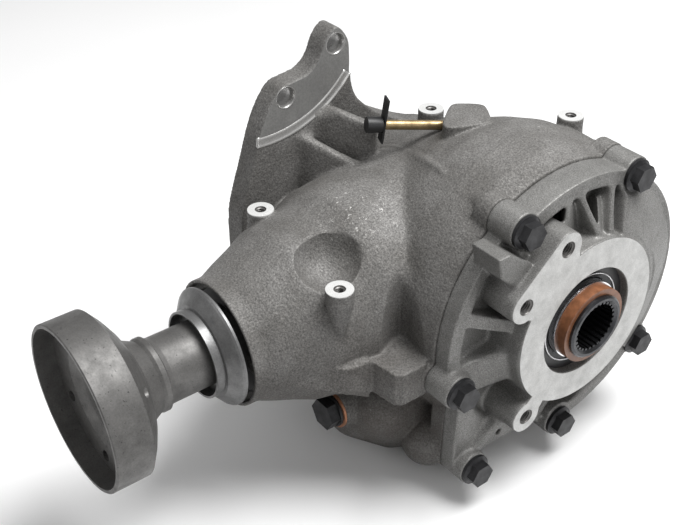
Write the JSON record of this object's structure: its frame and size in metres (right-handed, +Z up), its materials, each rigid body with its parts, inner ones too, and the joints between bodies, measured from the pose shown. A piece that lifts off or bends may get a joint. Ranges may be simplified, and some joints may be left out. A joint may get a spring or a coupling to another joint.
{
  "type": "power transfer unit",
  "caption": "Bevel drive unit: cast housing and bolted side cover round a hollow input shaft, ring gear and pinion, with a rear output flange.",
  "frame": {"origin": "centre of the gearbox mating face, on the input axis", "axes": "+X along the input axis out through the side cover, -Y towards the output flange, +Z up"},
  "size_m": [0.2355, 0.3905, 0.2684],
  "materials": {
    "cast_housing": "rough sand cast",
    "cast_cover": "die cast",
    "black_bolt": "black oxide",
    "bright_steel": "ground",
    "gear_steel": "case hardened",
    "flange_steel": "phosphated",
    "shield_steel": "pressed",
    "seal_rubber": "nitrile",
    "dust_plastic": "moulded",
    "copper": "copper",
    "tube_brass": "drawn",
    "chrome_sleeve": "ground",
    "nut_steel": "zinc"
  },
  "bodies": {
    "case": {"main_housing": "cast_housing", "side_cover": "cast_cover", "cover_bolts": "black_bolt", "cover_dowels": "bright_steel", "gearbox_dowels": "bright_steel", "spigot_seal": "seal_rubber", "gearbox_side_seal": "seal_rubber", "cover_side_seal": "seal_rubber", "seal_spring": "bright_steel", "left_bearing_cup": "bright_steel", "right_bearing_cup": "bright_steel", "preload_shim": "bright_steel", "head_bearing_cup": "bright_steel", "tail_bearing_cup": "bright_steel", "pinion_seal": "seal_rubber", "drain_plug": "black_bolt", "drain_washer": "copper", "breather_tube": "tube_brass", "breather_cap": "seal_rubber", "breather_clip": "seal_rubber"},
    "input": {"input_shaft": "gear_steel", "ring_gear": "gear_steel", "ring_gear_bolts": "black_bolt", "left_bearing_cone": "bright_steel", "right_bearing_cone": "bright_steel", "dust_ring": "dust_plastic", "seal_sleeve": "chrome_sleeve"},
    "output": {"bevel_pinion": "gear_steel", "pinion_depth_shim": "bright_steel", "head_bearing_cone": "bright_steel", "tail_bearing_cone": "bright_steel", "collapsible_spacer": "bright_steel", "pinion_nut": "nut_steel", "output_flange": "flange_steel", "dust_shield": "shield_steel"},
    "left_roller_set": {"left_rollers": "bright_steel", "left_cage": "gear_steel"},
    "right_roller_set": {"right_rollers": "bright_steel", "right_cage": "gear_steel"},
    "head_roller_set": {"head_rollers": "bright_steel", "head_cage": "gear_steel"},
    "tail_roller_set": {"tail_rollers": "bright_steel", "tail_cage": "gear_steel"}
  },
  "joints": [
    {"name": "input_spin", "type": "hinge", "parent": "case", "child": "input", "pos_m": [0, 0, 0], "axis": [1, 0, 0], "continuous": true},
    {"name": "output_spin", "type": "hinge", "parent": "case", "child": "output", "pos_m": [0.075, 0, 0], "axis": [0, -1, 0], "continuous": true},
    {"name": "left_roller_spin", "type": "hinge", "parent": "case", "child": "left_roller_set", "pos_m": [0, 0, 0], "axis": [1, 0, 0], "continuous": true},
    {"name": "right_roller_spin", "type": "hinge", "parent": "case", "child": "right_roller_set", "pos_m": [0, 0, 0], "axis": [1, 0, 0], "continuous": true},
    {"name": "head_roller_spin", "type": "hinge", "parent": "case", "child": "head_roller_set", "pos_m": [0.075, 0, 0], "axis": [0, -1, 0], "continuous": true},
    {"name": "tail_roller_spin", "type": "hinge", "parent": "case", "child": "tail_roller_set", "pos_m": [0.075, 0, 0], "axis": [0, -1, 0], "continuous": true}
  ],
  "couplings": [
    {"joint": "output_spin", "follows": "input_spin", "ratio": -2.6429},
    {"joint": "left_roller_spin", "follows": "input_spin", "ratio": 0.45767},
    {"joint": "right_roller_spin", "follows": "input_spin", "ratio": 0.45767},
    {"joint": "head_roller_spin", "follows": "input_spin", "ratio": -1.1831},
    {"joint": "tail_roller_spin", "follows": "input_spin", "ratio": -1.1869}
  ]
}
